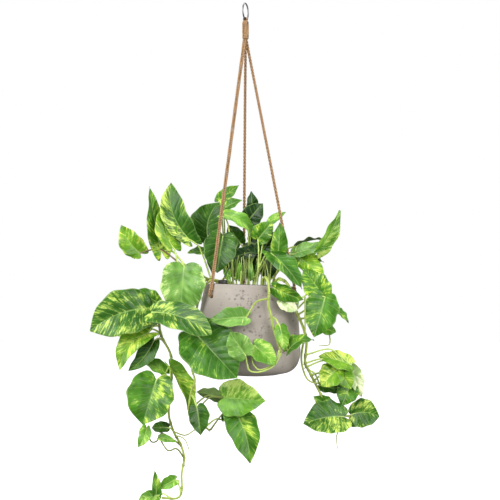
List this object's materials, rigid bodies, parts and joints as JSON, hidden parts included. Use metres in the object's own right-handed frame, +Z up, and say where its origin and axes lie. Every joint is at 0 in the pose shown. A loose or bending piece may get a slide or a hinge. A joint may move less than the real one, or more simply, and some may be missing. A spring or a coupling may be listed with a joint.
{
  "type": "potted golden pothos in a hanging cement planter",
  "caption": "Trailing golden pothos in a black nursery pot inside a round cement planter, hung from a metal ring by doubled cords gathered in a riveted leather strap.",
  "frame": {"origin": "the point the ring hangs from: the top of the inside of the hanging ring", "axes": "+Z up, -Y towards the front of the plant as the picture shows it, +X to the right in that view"},
  "size_m": [0.5663, 0.2716, 0.9918],
  "materials": {
    "ring_metal": "polished wire",
    "strap_leather": "natural tan, matte with darker cut edges",
    "cord": "twisted brown fibre, waxed",
    "cement": "cast warm grey cement with small air pits, matte",
    "black_plastic": "moulded, satin",
    "potting_mix": "damp peat with perlite grains",
    "foliage": "waxy leaves, mid green splashed with lime and cream"
  },
  "bodies": {
    "root": {"hanging_ring": "ring_metal", "leather_strap": "strap_leather", "rivet_upper": "ring_metal", "rivet_lower": "ring_metal", "cord_left": "cord", "cord_right": "cord", "cord_back": "cord", "cement_planter": "cement", "nursery_pot": "black_plastic", "potting_soil": "potting_mix", "hanger_clip": "black_plastic", "vine_upper_left": "foliage", "vine_left_long": "foliage", "vine_front_left": "foliage", "vine_front": "foliage", "vine_right": "foliage", "crown_left": "foliage", "crown_left_front": "foliage", "crown_middle": "foliage", "crown_right_front": "foliage", "crown_right": "foliage", "crown_back_left": "foliage", "crown_back_right": "foliage", "vine_back_left": "foliage", "vine_back_right": "foliage"}
  },
  "joints": []
}
